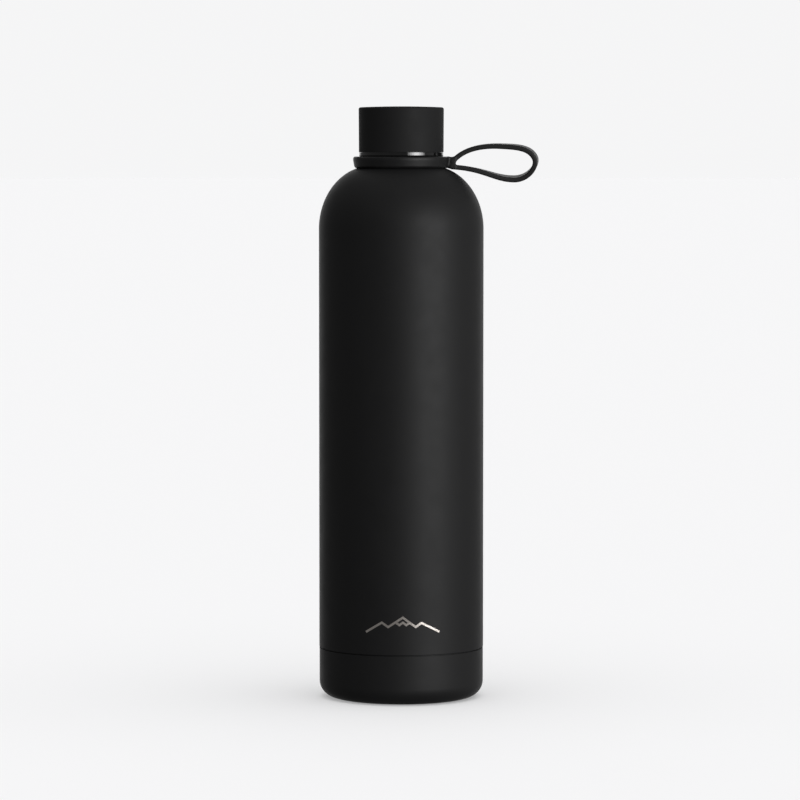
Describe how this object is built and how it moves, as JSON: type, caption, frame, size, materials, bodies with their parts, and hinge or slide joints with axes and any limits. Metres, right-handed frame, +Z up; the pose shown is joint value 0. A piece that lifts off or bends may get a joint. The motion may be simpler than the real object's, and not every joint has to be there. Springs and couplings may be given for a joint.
{
  "type": "insulated water bottle",
  "caption": "Slim double-walled vacuum bottle with a domed shoulder, narrow threaded neck, screw lid and a rubber carrying loop on a neck ring.",
  "frame": {"origin": "middle of the flat underside, on the bottle's axis", "axes": "+Z up along the bottle's axis, +X towards the carrying loop"},
  "size_m": [0.111, 0.0834, 0.3],
  "materials": {
    "powder_coat": "matte black powder coat",
    "flask_steel": "satin",
    "pressed_steel": "as pressed",
    "solder_glass": "fused bead",
    "getter_alloy": "sintered",
    "reflector_foil": "bright foil",
    "adhesive": "cured bead",
    "strap_silicone": "matte black",
    "gloss_black_plastic": "gloss",
    "lid_foam": "closed-cell foam",
    "gasket_silicone": "translucent white"
  },
  "bodies": {
    "bottle": {"outer_shell": "powder_coat", "base_cup": "powder_coat", "inner_flask": "flask_steel", "inner_flask_base": "flask_steel", "vacuum_base": "pressed_steel", "vacuum_seal": "solder_glass", "getter_holder": "pressed_steel", "getter_pellet": "getter_alloy", "reflector_foil": "reflector_foil", "base_adhesive": "adhesive"},
    "strap": {"strap_ring": "strap_silicone"},
    "loop": {"strap_loop": "strap_silicone"},
    "lid_seal": {"lid_gasket": "gasket_silicone"},
    "lid": {"lid_cover": "powder_coat", "lid_core": "gloss_black_plastic", "lid_insulation": "lid_foam"}
  },
  "joints": [
    {"name": "lid_rise", "type": "slide", "parent": "bottle", "child": "lid_seal", "axis": [0, 0, 1], "range_m": [0, 0.024]},
    {"name": "lid_turn", "type": "hinge", "parent": "lid_seal", "child": "lid", "pos_m": [0, 0, 0.285], "axis": [0, 0, 1], "range_deg": [0, 1080]},
    {"name": "strap_swivel", "type": "hinge", "parent": "bottle", "child": "strap", "pos_m": [0, 0, 0.272], "axis": [0, 0, 1], "continuous": true},
    {"name": "loop_flex", "type": "hinge", "parent": "strap", "child": "loop", "pos_m": [0.0276, 0, 0.272], "axis": [0, -1, 0], "range_deg": [-30, 60], "stiffness_Nm_per_rad": 0.02, "springref_deg": 1.49}
  ],
  "couplings": [
    {"joint": "lid_turn", "follows": "lid_rise", "rad_per_m": 785.4}
  ]
}
